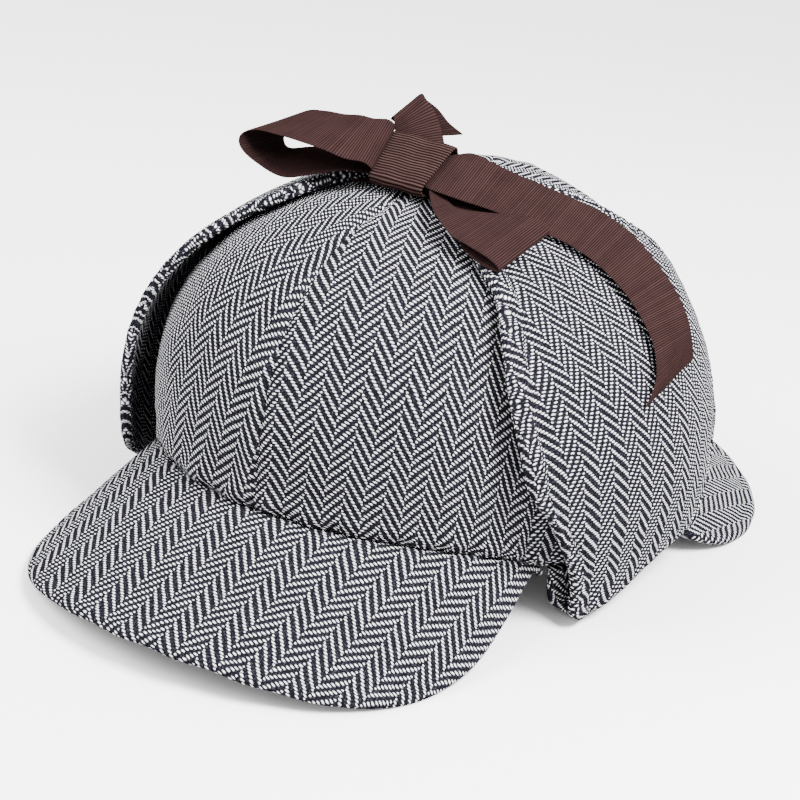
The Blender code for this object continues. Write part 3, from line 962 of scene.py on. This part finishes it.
@dataclass
class Peak(Piece):
    """A stiff peak covered with cloth, tucked under the crown's edge.

    Its slope is in degrees and grows with the square of the way to a corner. Its
    rulings fan out by a share of the angle round the crown.
    """

    node: str = "front_peak"
    side: int = -1
    arch: Arch = HatForm.front_arch
    length: float = 63.2 * MM
    corner: float = 5.21
    blunt: float = 1.99
    slope: float = 21.1
    slope_gain: float = 31.4
    turn: float = 0.670
    end: float = 1.5 * MM
    thick: float = 3.6 * MM
    tucked: float = 2.0 * MM
    gap: float = 0.3 * MM
    rounding: float = 2.4 * MM
    columns: int = 181
    rows: int = 84
    crowding: float = 1.2
    shift: float = 0.0
    edge_waves: Waves = Waves(0.45 * MM, 11 * MM)
    edge_waves_from: float = 20 * MM
    worked: Waves = Waves(0.22 * MM, 30 * MM)
    worked_from: float = 25 * MM
    root_fade: float = 6.0
    hem_ridge: Roll = Roll(0.25 * MM, 3.2 * MM, 1.6 * MM)
    hem_groove: Roll = Roll(-0.30 * MM, 6.0 * MM, 1.5 * MM)
    valley: Roll = Roll(-0.4 * MM, 0.0, 2.2 * MM)
    askew: float = 0.4 * MM
    askew_reach: float = 2.2 * MM
    edge_askew: float = 0.5
    edge_askew_reach: float = 1.5 * MM
    edge_seed: int = 7
    worked_seed: int = 3
    askew_seed: int = 90

    def build(self) -> None:
        """Make the peak.

        Straight rulings run out and down from the crown's edge. A ruling's length
        falls off towards the corners as 1 less a power of its place. The flat
        coordinates come from laying the rulings out in a plane one after another.
        """
        along = np.sin(np.linspace(-1, 1, self.columns) * math.pi / 2)
        turn = along * self.arch.reach
        angle = turn if self.side < 0 else math.pi - turn
        reach = self.length * (1 - np.abs(along) ** self.corner) ** self.blunt
        reach = np.maximum(reach, self.end)
        slope = np.radians(self.slope + self.slope_gain * along**2)
        heading = turn * self.turn
        out = self.side * np.cos(heading) * np.cos(slope)
        way = np.stack([np.sin(heading) * np.cos(slope), out, -np.sin(slope)], axis=-1)
        rim = self.form.point(angle, 0.0) - np.array([0.0, 0.0, self.gap])
        inward = self.form.normal(angle, 0.0) * np.array([1.0, 1.0, 0.0])
        steps = np.sin(np.linspace(0, math.pi / 2, self.rows)) ** self.crowding
        width = run_lengths(rim[None], 1)[0]
        edge = self.edge_waves.at(width, width * 0, self.edge_seed)
        edge = edge * np.clip(reach / self.edge_waves_from, 0, 1)
        face = rim + steps[:, None, None] * (reach + edge)[:, None] * way
        normal = grid_normals(face)
        face = np.concatenate([(rim - self.tucked * inward)[None], face])
        normal = np.concatenate([normal[:1], normal])
        normal = normal * np.sign(normal[..., 2:])
        run = np.concatenate([[-self.tucked / self.length], steps])[:, None]
        to_edge = (1 - np.maximum(run, 0)) * reach
        half = half_thickness(to_edge, self.rounding, self.thick)
        flat = self.laid_out(face)
        worked = self.worked.at(flat[..., 0], flat[..., 1], self.worked_seed)
        worked = worked + (self.hem_ridge.at(to_edge) + self.hem_groove.at(to_edge))
        fade = np.clip(reach / self.worked_from, 0, 1) * np.clip(run * self.root_fade, 0, 1)
        from_root = np.maximum(run, 0) * reach
        drop = self.thick / 2 - half - worked * fade - self.valley.at(from_root)
        upper = face - drop[..., None] * normal
        lower = face - (self.thick / 2 + half)[..., None] * normal
        over = round_the_edge(flat, face, upper, 0, 1)
        under = over[-1:] + flat[-1:] - round_the_edge(flat, face, lower, 0, -1)
        near_edge = self.edge_askew * np.exp(-to_edge / self.edge_askew_reach)
        near_root = np.exp(-from_root / self.askew_reach) + near_edge
        over = ruffled(over, near_root, self.askew, self.askew_seed)
        made = self.make(self.node, upper, lower, over, under)

    def laid_out(self, face: np.ndarray) -> np.ndarray:
        """Lay the rulings out flat from the middle one outwards.

        A strip between two rulings keeps its lengths, so each next ruling's two
        ends are found by two circles round the last one's ends.

        Args:
            face: grid of points, a ruling in each column.

        Returns:
            Grid of flat places in metres, rows by columns by two.
        """
        root, tip = face[1], face[-1]
        length = np.linalg.norm(tip - root, axis=-1)
        middle = self.columns // 2
        flat_root = np.zeros((self.columns, 2))
        flat_way = np.zeros((self.columns, 2))
        flat_way[middle] = (0.0, -1.0)
        for step in (1, -1):
            for here in range(middle, self.columns - 1 if step > 0 else 0, step):
                then = here + step
                ruling = (tip[here] - root[here]) / length[here]
                next_ruling = (tip[then] - root[then]) / length[then]
                gap = root[then] - root[here]
                outward = flat_way[here]
                beside = np.array([-outward[1], outward[0]]) * step
                ahead = gap @ ruling
                away = math.sqrt(max(gap @ gap - ahead**2, 0.0))
                flat_root[then] = flat_root[here] + outward * ahead + beside * away
                side_way = (gap - ahead * ruling) / max(away, NO_LENGTH)
                swing = math.atan2(next_ruling @ side_way, next_ruling @ ruling)
                flat_way[then] = outward * math.cos(swing) + beside * math.sin(swing)
        run = np.linalg.norm(face - root, axis=-1)
        run[0] = -run[0]
        flat = flat_root + run[..., None] * flat_way
        return flat + np.array([self.shift, 0.0])


class FlapRow(NamedTuple):
    """A row of an ear flap above its fold, in degrees and millimetres.

    Each of its two edges has a level and an angle on the crown, and a stand-off from
    it. The two flaps differ only in the angle of the front edge.
    """

    level: float
    left_front: float
    right_front: float
    off: float
    back_level: float
    back: float
    back_off: float


@dataclass
class EarFlap(Piece):
    """A doubled ear flap, rooted under the crown's edge, folded up and lying over the crown.

    Angles and levels are in degrees, and a share runs from the front edge to the
    back. The drops, in millimetres, say how far the fold hangs below the rim.
    """

    node: str = "ear_flap_left"
    side: float = 1.0
    thick: float = 3.6 * MM
    gap: float = 0.3 * MM
    fold_front: float = 66.5
    fold_back: float = 104.5
    fold_swing: float = 4.5
    back_swing: float = 2.0
    fold_turns: tuple = (0.0, 20.0, 50.0, 90.0, 130.0, 160.0)
    root_depth: float = -0.6 * MM
    drop_shares: tuple = (0.0, 0.22, 0.5, 0.78, 1.0)
    drops: tuple = (18.9, 16.2, 10.6, 7.6, 5.0)
    shares: tuple = (0.0, 0.03, 0.11, 0.2, 0.3, 0.4, 0.5, 0.6, 0.7, 0.8, 0.89, 0.97, 1.0)
    rows: int = 190
    columns: int = 121
    lined_up: float = 0.3
    fold_run: float = 30.0 * MM
    lean: float = 7.0
    hem_width: float = 7.5 * MM
    hem_blend: float = 0.5 * MM
    hem_shift: tuple = (-1.75 * MM, 2.06 * MM)
    shift: float = 0.0
    edge_roll: Roll = Roll(0.35 * MM, 2.2 * MM, 1.4 * MM)
    stitching: Roll = Roll(-0.45 * MM, hem_width, 0.9 * MM)
    worked: Waves = Waves(0.40 * MM, 38 * MM)
    worked_from: float = 30 * MM
    worked_inside: float = 0.6
    pucker: Waves = Waves(0.22 * MM, 8 * MM, 6 * MM)
    edge_fade: float = 1.2 * MM
    askew: float = 0.65 * MM
    askew_power: int = 4
    seed: int = 60
    table: tuple = (
        FlapRow(0.0, 66.8, 49.0, 12.0, 3.5, 110.0, 16.5),
        FlapRow(9.0, 60.0, 50.0, 11.9, 9.5, 117.0, 15.8),
        FlapRow(14.0, 54.5, 51.0, 11.8, 17.0, 126.0, 13.5),
        FlapRow(21.0, 52.0, 52.0, 11.5, 25.0, 132.0, 11.0),
        FlapRow(29.0, 50.0, 51.0, 10.4, 33.0, 136.0, 8.8),
        FlapRow(38.0, 49.5, 50.0, 8.6, 41.0, 137.0, 6.8),
        FlapRow(45.0, 50.0, 50.0, 7.4, 48.0, 135.0, 6.0),
        FlapRow(51.0, 50.0, 50.0, 6.5, 54.0, 131.0, 5.9),
        FlapRow(56.0, 48.0, 48.0, 5.8, 60.0, 128.0, 5.8),
        FlapRow(61.0, 46.0, 46.0, 5.4, 66.0, 128.0, 5.4),
        FlapRow(66.0, 47.0, 47.0, 5.0, 71.0, 130.0, 5.0),
        FlapRow(71.5, 55.0, 55.0, 4.6, 75.5, 128.0, 4.6),
        FlapRow(76.0, 64.0, 64.0, 4.4, 78.0, 114.0, 4.4),
    )

    def build(self) -> None:
        """Make the flap: its middle face moved half its thickness each way, thinning at its edges.

        The flat places below the fold carry on straight from those above it, and a
        hem's weave is shifted against the rest.
        """
        middle = self.middle_face()
        up, wide = run_lengths(middle, 0), run_lengths(middle, 1)
        lined = round(self.lined_up * (self.columns - 1))
        to_edge = np.minimum(np.minimum(wide, wide[:, -1:] - wide), up[-1:] - up)
        outward = -grid_normals(middle)
        half = half_thickness(to_edge, self.thick / 2, self.thick)
        sideways = wide - wide[:, lined, None]
        rough = np.stack(np.broadcast_arrays(sideways, up[:, lined, None]), axis=-1)
        fold = int(np.searchsorted(up.mean(axis=1), self.fold_run))
        flat = laid_flat(middle[fold:], rough[fold:])
        onward = flat[1] - flat[0]
        onward = onward / np.linalg.norm(onward, axis=-1, keepdims=True)
        below = flat[0] - (up[fold] - up[:fold])[..., None] * onward
        flat = self.grained(np.concatenate([below, flat]), self.lean, 1.0, self.shift)
        worked = self.worked.at(wide, up, self.seed)
        roll = self.edge_roll.at(to_edge) + self.stitching.at(to_edge)
        roll = roll + self.pucker.at(wide, up, self.seed + 1, to_edge)
        lift = roll * np.clip(to_edge / self.edge_fade, 0, 1)
        lift = lift + worked * np.clip(up / self.worked_from, 0, 1)
        upper = middle + (half + lift)[..., None] * outward
        lower = middle - (half - worked * self.worked_inside)[..., None] * outward
        hem = np.clip((self.hem_width - to_edge) / self.hem_blend, 0, 1)[..., None]
        near_edge = np.exp(-((to_edge / self.hem_width) ** self.askew_power))
        over, under = (
            ruffled(
                round_the_edge(flat, middle, face, 1, lined) + hem * np.array(self.hem_shift),
                near_edge,
                self.askew,
                self.seed + 2,
            )
            for face in (upper, lower)
        )
        mirror = np.array([self.side, 1.0, 1.0])
        made = self.make(self.node, upper * mirror, lower * mirror, over, under)
        gore = "cloth_gore_side_" + self.node.rsplit("_", 1)[-1]
        self.sheet(made, middle, Held.FOLDED, [gore])

    def middle_face(self) -> np.ndarray:
        """Middle face as if on the left, from the root round the fold and up to the tied tip.

        Rows above the fold stand off the crown by a length that grows with the
        square of the share from the front edge to the back. Rows of the fold are
        arcs from under the rim outwards. A smooth surface runs through both.

        Returns:
            Grid of points in the rim's frame.
        """
        share = np.array(self.shares)
        table = FlapRow(*np.array(self.table).T[:, :, None])
        front = table.left_front if self.side > 0 else table.right_front
        level = np.radians(table.level + (table.back_level - table.level) * share)
        angle = np.radians(front + (table.back - front) * share)
        off = (table.off + (table.back_off - table.off) * share**2) * MM - self.thick / 2
        above = self.form.point(angle, level) + off[..., None] * self.form.normal(angle, level)
        drops = np.interp(share, self.drop_shares, self.drops) * MM - self.thick / 2
        half_width = (off[0] - self.root_depth) / 2
        depth = np.minimum(half_width, drops - self.gap)
        swing = self.fold_swing + (self.back_swing - self.fold_swing) * share
        straight = self.fold_front + (self.fold_back - self.fold_front) * share
        fold = []
        for turn in np.radians(self.fold_turns):
            around = np.radians(straight + swing * math.sin(turn))
            out = self.root_depth + half_width * (1 - math.cos(turn))
            height = -drops + depth * (1 - math.sin(turn))
            if turn == 0.0:
                height = np.full_like(drops, -self.gap)
            x = (self.form.half_width + out) * np.sin(around)
            y = -(self.form.half_length + out) * np.cos(around)
            fold.append(np.stack([x, y, height], axis=-1))
        coarse = np.concatenate([np.array(fold), above])
        rows = run_lengths(coarse, 0).mean(axis=1)
        filled = along_knots(coarse, rows, np.linspace(0, rows[-1], self.rows))
        across = np.swapaxes(filled, 0, 1)
        columns = run_lengths(across, 0).mean(axis=1)
        places = columns[-1] * (np.sin(np.linspace(-0.5, 0.5, self.columns) * math.pi) + 1) / 2
        return np.swapaxes(along_knots(across, columns, places), 0, 1)


# ---------------------------------------------------------------- the ribbon


class Strip(NamedTuple):
    """A place along a ribbon: middle and width in millimetres, heading and rise in degrees."""

    x: float
    y: float
    z: float
    turn: float
    lean: float
    width: float


@dataclass
class Ribbon(Piece):
    """A length of ribbon carried along a smooth curve."""

    node: str = "bow_loop_right"
    rows: tuple[Strip, ...] = ()
    thick: float = 0.6 * MM
    edge_power: int = 24
    edge_least: float = 0.05
    steps: int = 220
    columns: int = 17
    mirror: float = 1.0
    outer: int = 1
    held: Held = Held.FOLDED
    rests_on: tuple = ("bow_knot",)
    slot: Slot = Slot.RIBBON

    def build(self) -> None:
        """Make the strip: at each place a straight width, moved half the thickness each way.

        The thickness falls off at the edges as the root of 1 less a high power of
        the distance from the middle. The inner face's flat places are INNER_FACE
        further across, by which the ribbon's finish knows where to paint shade on it.
        """
        table = np.array(self.rows, dtype=float)
        knots = np.arange(len(table), dtype=float)
        row = along_knots(table, knots, np.linspace(0, len(table) - 1, self.steps))
        centre = row[:, :3] * MM
        turn, lean, width = np.radians(row[:, 3]), np.radians(row[:, 4]), row[:, 5] * MM
        level = np.cos(lean)
        across = np.stack([np.sin(turn) * level, np.cos(turn) * level, np.sin(lean)], axis=-1)
        places = np.sin(np.linspace(-1, 1, self.columns) * math.pi / 2)[:, None, None] / 2
        face = centre + places * (width[:, None] * across)
        normal = grid_normals(face) * self.outer
        thin = 1 - (np.abs(places) * 2) ** self.edge_power
        thin = np.sqrt(np.clip(thin, self.edge_least, 1))
        flat_along = run_lengths(face, 1)[self.columns // 2]
        flat_across = run_lengths(face, 0)
        flat = np.stack(np.broadcast_arrays(flat_across, flat_along), axis=-1)
        mirror = np.array([self.mirror, 1.0, 1.0])
        lift = thin * self.thick / 2 * normal
        upper, lower = (face + lift) * mirror, (face - lift) * mirror
        # the inner face's shifted flat places mark it for painted shade
        made = self.make(self.node, upper, lower, flat, flat + np.array([INNER_FACE, 0.0]))
        self.sheet(made, face, self.held, self.rests_on)


class KnotRow(NamedTuple):
    """A place round the knot's section in millimetres, and the ends of its band there."""

    y: float
    z: float
    right: float
    left: float


@dataclass
class Knot(Piece):
    """The band of ribbon round the middle of the bow."""

    thick: float = 0.7 * MM
    fold_height: float = 0.16 * MM
    fold_count: float = 2.0
    fold_phase: float = 0.8
    steps: int = 260
    columns: int = 41
    slot: Slot = Slot.RIBBON
    rows: tuple = (
        KnotRow(-32.6, 112.6, -10.6, 10.0),
        KnotRow(-31.2, 115.0, -10.9, 10.2),
        KnotRow(-22.8, 119.8, -12.2, 10.4),
        KnotRow(-15.0, 123.9, -13.6, 10.6),
        KnotRow(-12.4, 123.6, -13.8, 10.6),
        KnotRow(-11.2, 120.2, -13.0, 10.4),
        KnotRow(-11.4, 114.5, -12.0, 10.2),
        KnotRow(-13.6, 110.9, -11.2, 10.0),
        KnotRow(-21.0, 110.6, -10.6, 10.0),
        KnotRow(-30.2, 110.4, -10.4, 10.0),
    )

    def build(self) -> None:
        """Make the band: a closed smooth section swept from its right end to its left.

        Soft lengthwise folds are a sine of the share of the way across.
        """
        table = np.array(self.rows, dtype=float)
        wrapped = np.vstack([table[-2:], table, table[:3]])
        knots = np.arange(len(wrapped), dtype=float) - 2
        row = along_knots(wrapped, knots, np.linspace(0, len(table), self.steps, endpoint=False))
        start = row[:, [2, 0, 1]][:, None] * MM
        finish = row[:, [3, 0, 1]][:, None] * MM
        share = np.linspace(0, 1, self.columns)[None, :, None]
        face = start + (finish - start) * share
        forward = np.roll(face, -1, axis=0) - np.roll(face, 1, axis=0)
        normal = np.cross(forward, finish - start)
        normal /= np.linalg.norm(normal, axis=-1, keepdims=True)
        closed = np.concatenate([face, face[:1]])
        flat_along = run_lengths(closed, 0)
        flat_across = run_lengths(closed, 1)
        flat = np.stack(np.broadcast_arrays(flat_across, flat_along[:, :1]), axis=-1)
        folds = np.sin(share * 2 * math.pi * self.fold_count + self.fold_phase)
        folds = self.fold_height * folds
        upper = face + (self.thick / 2 + folds) * normal
        lower = face + (folds - self.thick / 2) * normal
        made = self.make("bow_knot", upper, lower, flat, ring=True)
        self.sheet(made, closed, Held.FOLDED, ["ribbon_tie_left", "ribbon_tie_right"])


BIG_LOOP = (
    Strip(-6.0, -23.0, 116.6, -8, 26, 14.5),
    Strip(-11.9, -23.0, 117.8, -10, 28, 18.0),
    Strip(-11.9, -23.7, 121.3, -10, 30, 21.5),
    Strip(-14.2, -25.3, 123.2, -9, 29, 22.0),
    Strip(-19.0, -27.8, 123.3, -5, 27, 22.0),
    Strip(-24.5, -30.3, 124.6, 4, 23, 22.0),
    Strip(-32.0, -31.0, 124.5, 10, 18, 22.0),
    Strip(-40.5, -30.0, 124.0, 14, 16, 22.0),
    Strip(-50.5, -28.0, 122.3, 20, 13, 22.0),
    Strip(-56.3, -29.0, 118.2, 16, 5, 22.0),
    Strip(-56.3, -30.3, 113.4, 8, 0, 22.0),
    Strip(-51.0, -31.0, 110.3, -3, 2, 22.0),
    Strip(-41.5, -30.0, 110.0, -8, 16, 22.0),
    Strip(-31.0, -27.5, 112.5, -8, 13, 22.0),
    Strip(-21.0, -25.0, 114.0, -6, 5, 20.0),
    Strip(-13.5, -23.5, 113.5, -4, 4, 14.0),
    Strip(-6.0, -23.0, 112.7, -4, 6, 12.0),
)
LONG_TAIL = (
    Strip(5.0, -22.5, 116.9, 2, 26, 14.5),
    Strip(11.5, -21.6, 117.8, 2, 28, 19.0),
    Strip(16.5, -20.6, 118.1, -1, 27, 22.0),
    Strip(23.5, -18.9, 116.6, -3, 24, 22.0),
    Strip(31.0, -14.8, 114.2, -3, 20, 22.0),
    Strip(38.5, -9.0, 111.0, -1, 19, 22.0),
    Strip(46.5, -2.0, 107.0, -2, 20, 22.0),
    Strip(54.5, 4.6, 102.8, 0, 20, 22.0),
    Strip(63.5, 9.8, 96.8, 4, 18, 22.0),
    Strip(73.5, 12.2, 88.7, 6, 13, 22.0),
    Strip(82.2, 11.3, 81.1, 10, 8, 22.0),
    Strip(88.4, 8.8, 74.8, 9, 5, 22.0),
    Strip(91.7, 6.1, 70.5, 5, 8, 23.1),
    Strip(94.1, 2.9, 67.0, 2, 11, 25.7),
    Strip(95.5, -0.6, 63.9, 1, 14, 30.1),
    Strip(96.3, -4.0, 61.5, 2, 15, 34.2),
)
SMALL_LOOP = (
    Strip(4.5, -21.5, 113.8, 0, 4, 8.0),
    Strip(9.0, -22.5, 113.5, 0, 5, 9.0),
    Strip(13.6, -28.6, 112.0, 0, -4, 9.5),
    Strip(21.8, -37.0, 110.4, 2, -3, 12.5),
    Strip(32.0, -39.4, 109.0, 6, 10, 19.5),
    Strip(41.0, -38.5, 108.6, 15, 20, 22.0),
    Strip(48.0, -38.8, 108.2, 24, 30, 22.0),
    Strip(52.8, -38.4, 106.0, 27, 33, 22.0),
    Strip(52.4, -38.0, 103.8, 25, 30, 22.0),
    Strip(46.0, -38.0, 103.9, 20, 22, 22.0),
    Strip(38.0, -36.5, 106.1, 12, 14, 23.0),
    Strip(28.0, -29.2, 108.4, 4, 5, 21.0),
    Strip(19.0, -24.2, 109.4, 0, 2, 15.5),
    Strip(13.0, -22.5, 110.5, 0, 2, 9.0),
    Strip(9.0, -22.5, 112.0, 0, 4, 9.0),
    Strip(4.5, -21.5, 112.2, 0, 4, 8.0),
)
SHORT_TAIL = (
    Strip(-3.5, -3.0, 110.4, 32, 0, 11.0),
    Strip(-5.0, -2.5, 114.5, 30, 0, 13.0),
    Strip(-7.8, -2.2, 119.5, 26, 2, 15.5),
    Strip(-10.7, -2.0, 123.6, 16, 5, 19.0),
    Strip(-13.0, -2.6, 126.8, 5, 9, 22.4),
    Strip(-14.4, -3.2, 129.4, -3, 12, 22.6),
    Strip(-15.8, -2.6, 131.0, -4, 12, 21.5),
    Strip(-17.2, -1.3, 129.7, -3, 12, 21.5),
    Strip(-14.1, 3.0, 126.4, 4, 7, 21.5),
    Strip(-11.3, 4.6, 122.6, 13, 3, 22.0),
    Strip(-9.0, 7.0, 119.9, 24, -1, 23.7),
)
TIE = (
    Strip(19.4, -16.4, 107.4, -16, 3, 18.0),
    Strip(13.5, -16.8, 108.6, -8, 1, 20.0),
    Strip(7.5, -17.0, 109.1, 0, 0, 20.0),
    Strip(0.8, -17.5, 109.3, 0, 0, 18.0),
)


@dataclass
class Bow:
    """The ribbon tied over the crown: knot, two loops, two tails, and the ties under them."""

    form: HatForm
    material: bpy.types.Material
    # the knot's lit copy of the ribbon, with painted highlights and shade on its ribs
    lit_knot_material: bpy.types.Material

    def build(self) -> None:
        """Make the bow's pieces."""
        Knot(self.form, self.lit_knot_material).build()
        Ribbon(self.form, self.material, node="bow_loop_right", rows=BIG_LOOP).build()
        Ribbon(self.form, self.material, node="bow_loop_left", rows=SMALL_LOOP, outer=-1).build()
        Ribbon(
            self.form,
            self.material,
            node="bow_tail_long",
            rows=LONG_TAIL,
            outer=-1,
            held=Held.DRAPED,
            rests_on=("cloth_ear_flap_left",),
        ).build()
        Ribbon(self.form, self.material, node="bow_tail_short", rows=SHORT_TAIL).build()
        for node, mirror in (("tie_left", 1.0), ("tie_right", -1.0)):
            Ribbon(
                self.form,
                self.material,
                node=node,
                rows=TIE,
                mirror=mirror,
                steps=40,
                held=Held.STRETCHED,
                rests_on=("cloth_ear_" + node.replace("tie", "flap"),),
            ).build()


# ---------------------------------------------------------------- stage, light and camera


class Lamp(NamedTuple):
    """A square soft light: its place, the point it faces, its side in metres and its watts."""

    name: str
    place: tuple
    aim: tuple
    size: float
    power: float


@dataclass(frozen=True)
class Studio:
    """Plain pale floor, soft light and the photograph's view.

    The camera's angles are in degrees, and its lens and sensor in millimetres.
    """

    target: tuple = (-0.00985, 0.00682, 0.03929)
    azimuth: float = 29.294
    elevation: float = 22.570
    roll: float = 6.406
    distance: float = 0.78516
    lens: float = 96.447
    sensor: float = 36.0
    nearest: float = 0.05
    furthest: float = 30.0
    floor_size: float = 12.0
    floor_level: float = -0.01 * MM
    floor_colour: tuple = (0.66, 0.66, 0.66, 1.0)
    floor_roughness: float = 0.9
    sky: tuple = (1.0, 1.0, 1.0, 1.0)
    sky_strength: float = 3.0
    lamps: tuple = (
        Lamp("key_above", (0.70, -0.15, 0.95), (0.0, 0.0, 0.05), 0.45, 88.0),
        Lamp("fill_front", (-0.75, -0.75, 1.10), (0.0, 0.0, 0.06), 0.9, 58.0),
    )

    def build(self) -> None:
        """Set the stage, the lights and the camera."""
        self.floor()
        self.world()
        for lamp in self.lamps:
            self.light(lamp)
        self.camera()

    def floor(self) -> None:
        """A pale floor that runs past the view."""
        half = self.floor_size / 2
        mesh = bpy.data.meshes.new("floor")
        turns = ((-1, -1), (1, -1), (1, 1), (-1, 1))
        corners = [(x * half, y * half, self.floor_level) for x, y in turns]
        mesh.from_pydata(corners, [], [(0, 1, 2, 3)])
        floor = bpy.data.objects.new("floor", mesh)
        bpy.context.scene.collection.objects.link(floor)
        book = ShaderBook("floor_paint")
        book.shader.inputs["Base Color"].default_value = self.floor_colour
        book.shader.inputs["Roughness"].default_value = self.floor_roughness
        mesh.materials.append(book.material)

    def world(self) -> None:
        """An even pale sky."""
        world = bpy.data.worlds.new("studio")
        world.use_nodes = True
        sky = world.node_tree.nodes["Background"]
        sky.inputs["Color"].default_value = self.sky
        sky.inputs["Strength"].default_value = self.sky_strength
        bpy.context.scene.world = world

    def light(self, lamp: Lamp) -> None:
        """Hang one lamp, turned to the point it faces."""
        light = bpy.data.lights.new(lamp.name, "AREA")
        light.size = lamp.size
        light.energy = lamp.power
        hung = bpy.data.objects.new(lamp.name, light)
        hung.location = lamp.place
        facing = Vector(lamp.aim) - Vector(lamp.place)
        hung.rotation_euler = facing.to_track_quat("-Z", "Y").to_euler()
        bpy.context.scene.collection.objects.link(hung)

    def camera(self) -> None:
        """The camera, from its azimuth, elevation, roll and distance from the target."""
        turn, rise, roll = (math.radians(a) for a in (self.azimuth, self.elevation, self.roll))
        away = math.cos(rise)
        back = Vector((math.sin(turn) * away, -math.cos(turn) * away, math.sin(rise)))
        level = Vector((math.cos(turn), math.sin(turn), 0.0))
        upright = back.cross(level)
        right = level * math.cos(roll) + upright * math.sin(roll)
        up = upright * math.cos(roll) - level * math.sin(roll)
        place = Vector(self.target) + back * self.distance
        data = bpy.data.cameras.new("camera")
        data.sensor_width = self.sensor
        data.lens = self.lens
        data.clip_start = self.nearest
        data.clip_end = self.furthest
        camera = bpy.data.objects.new("camera", data)
        axes = Matrix((right, up, back)).transposed().to_4x4()
        camera.matrix_world = Matrix.Translation(place) @ axes
        bpy.context.scene.collection.objects.link(camera)
        bpy.context.scene.camera = camera


def main() -> None:
    """Build and dress the hat, then the stage."""
    logging.basicConfig(level=logging.INFO, format="%(name)s: %(message)s")
    form = HatForm()
    wool = Herringbone().material()
    ribbon = Grosgrain().material()
    # a lit copy of the ribbon for the knot: its lighter crests are painted highlights and its wider
    # dark grooves painted shade
    knot = Grosgrain(
        name="grosgrain_ribbon_knot_lit",
        rib_pitch=1.2 * MM,
        crest=(0.031, 0.0177, 0.0164),
        crest_from=0.58,
        depth=0.7 * MM,
    ).material()
    Studio().build()
    Crown(form, wool).build()
    Peak(form, wool).build()
    Peak(
        form,
        wool,
        node="rear_peak",
        side=1,
        arch=form.rear_arch,
        length=58.4 * MM,
        corner=3.42,
        blunt=0.48,
        slope=23.7,
        slope_gain=8.5,
        turn=0.973,
        shift=2.0 * MM,
    ).build()
    EarFlap(form, wool).build()
    EarFlap(form, wool, node="ear_flap_right", side=-1.0, shift=3.0 * MM, seed=80).build()
    Bow(form, ribbon, knot).build()


if __name__ == "__main__":
    main()
